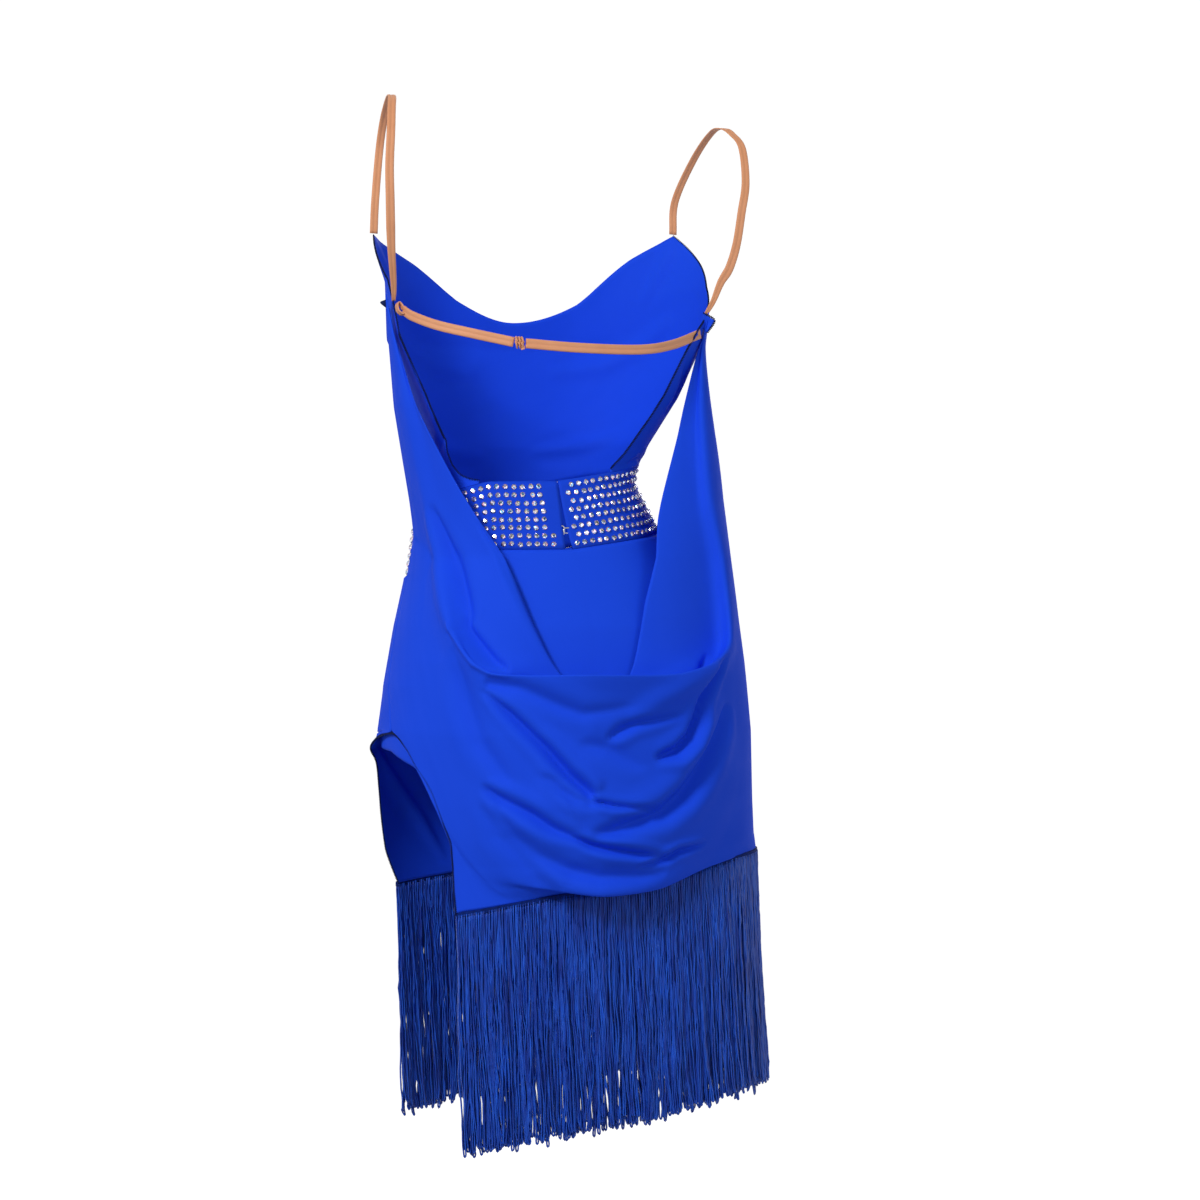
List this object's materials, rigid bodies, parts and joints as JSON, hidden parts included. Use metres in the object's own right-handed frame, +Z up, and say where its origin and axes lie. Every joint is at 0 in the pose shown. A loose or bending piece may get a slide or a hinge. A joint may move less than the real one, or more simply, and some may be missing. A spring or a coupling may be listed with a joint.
{
  "type": "salsa dance dress",
  "caption": "Sleeveless royal blue dance dress with an open back, a deep cowl drape, a stoned waistband, thin straps and long fringe hems.",
  "frame": {"origin": "midway between the places where the two straps cross the shoulders", "axes": "+Z up, +Y to the wearer's front, +X to the wearer's right"},
  "size_m": [0.3513, 0.277, 0.9139],
  "materials": {
    "jersey": "royal blue stretch jersey, soft sheen",
    "band": "royal blue stretch cloth set with rows of small pale stones",
    "hook": "small wire hook",
    "elastic": "nude flat elastic with a fine lengthwise rib",
    "fringe": "deep blue twisted rayon thread"
  },
  "bodies": {
    "root": {"waistband": "band", "waistband_hook": "hook", "front_bodice": "jersey", "brief": "jersey", "gusset": "jersey", "front_skirt": "jersey", "cowl_drape": "jersey", "left_strap": "elastic", "right_strap": "elastic", "back_strap_left": "elastic", "back_strap_right": "elastic", "strap_knot": "elastic", "back_fringe": "fringe", "front_fringe": "fringe"}
  },
  "joints": []
}
